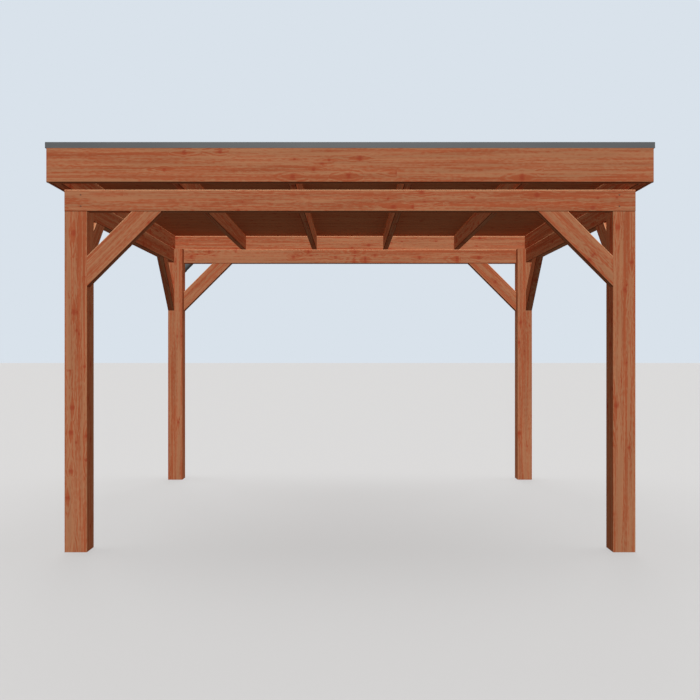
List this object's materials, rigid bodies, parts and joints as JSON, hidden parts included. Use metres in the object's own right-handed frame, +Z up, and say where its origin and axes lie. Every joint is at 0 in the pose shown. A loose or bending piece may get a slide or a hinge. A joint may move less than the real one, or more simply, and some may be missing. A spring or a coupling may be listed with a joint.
{
  "type": "patio cover",
  "caption": "Free-standing flat-roofed timber patio cover with braced square posts, ring beams, rafters, a boarded roof, fascia with a metal edge trim and a rain pipe.",
  "frame": {"origin": "on the ground, below the middle of the whole cover's bounding box", "axes": "+X runs along the front to the right as seen from the front, +Y runs from the front to the back, +Z is up"},
  "size_m": [3.632, 3.4432, 2.498],
  "materials": {
    "stained_timber": "red-brown stained softwood, planed",
    "roof_timber": "red-brown stained softwood, planed",
    "roof_boarding": "red-brown stained tongue-and-groove boards",
    "edge_trim": "mill-finish grey, dull",
    "roof_membrane": "matte black rubber sheet",
    "rain_plastic": "dark grey plastic pipe",
    "outlet_metal": "dark grey coated sheet"
  },
  "bodies": {
    "root": {"post_front_left": "stained_timber", "post_front_right": "stained_timber", "post_back_left": "stained_timber", "post_back_right": "stained_timber", "beam_front": "stained_timber", "beam_back": "stained_timber", "beam_left": "stained_timber", "beam_right": "stained_timber", "brace_front_left": "stained_timber", "brace_front_right": "stained_timber", "brace_back_left": "stained_timber", "brace_back_right": "stained_timber", "brace_left_front": "stained_timber", "brace_right_front": "stained_timber", "brace_left_back": "stained_timber", "brace_right_back": "stained_timber", "rafter_left": "roof_timber", "rafter_1": "roof_timber", "rafter_2": "roof_timber", "rafter_3": "roof_timber", "rafter_4": "roof_timber", "rafter_right": "roof_timber", "rim_front": "roof_timber", "rim_back": "roof_timber", "roof_boards": "roof_boarding", "roof_membrane": "roof_membrane", "fascia_front": "stained_timber", "fascia_back": "stained_timber", "fascia_left": "stained_timber", "fascia_right": "stained_timber", "trim_front": "edge_trim", "trim_back": "edge_trim", "trim_left": "edge_trim", "trim_right": "edge_trim", "outlet_box": "outlet_metal", "bend_upper": "rain_plastic", "pipe_step_piece": "rain_plastic", "bend_lower": "rain_plastic", "rain_pipe": "rain_plastic", "pipe_clips": "rain_plastic", "pipe_shoe": "rain_plastic"}
  },
  "joints": []
}
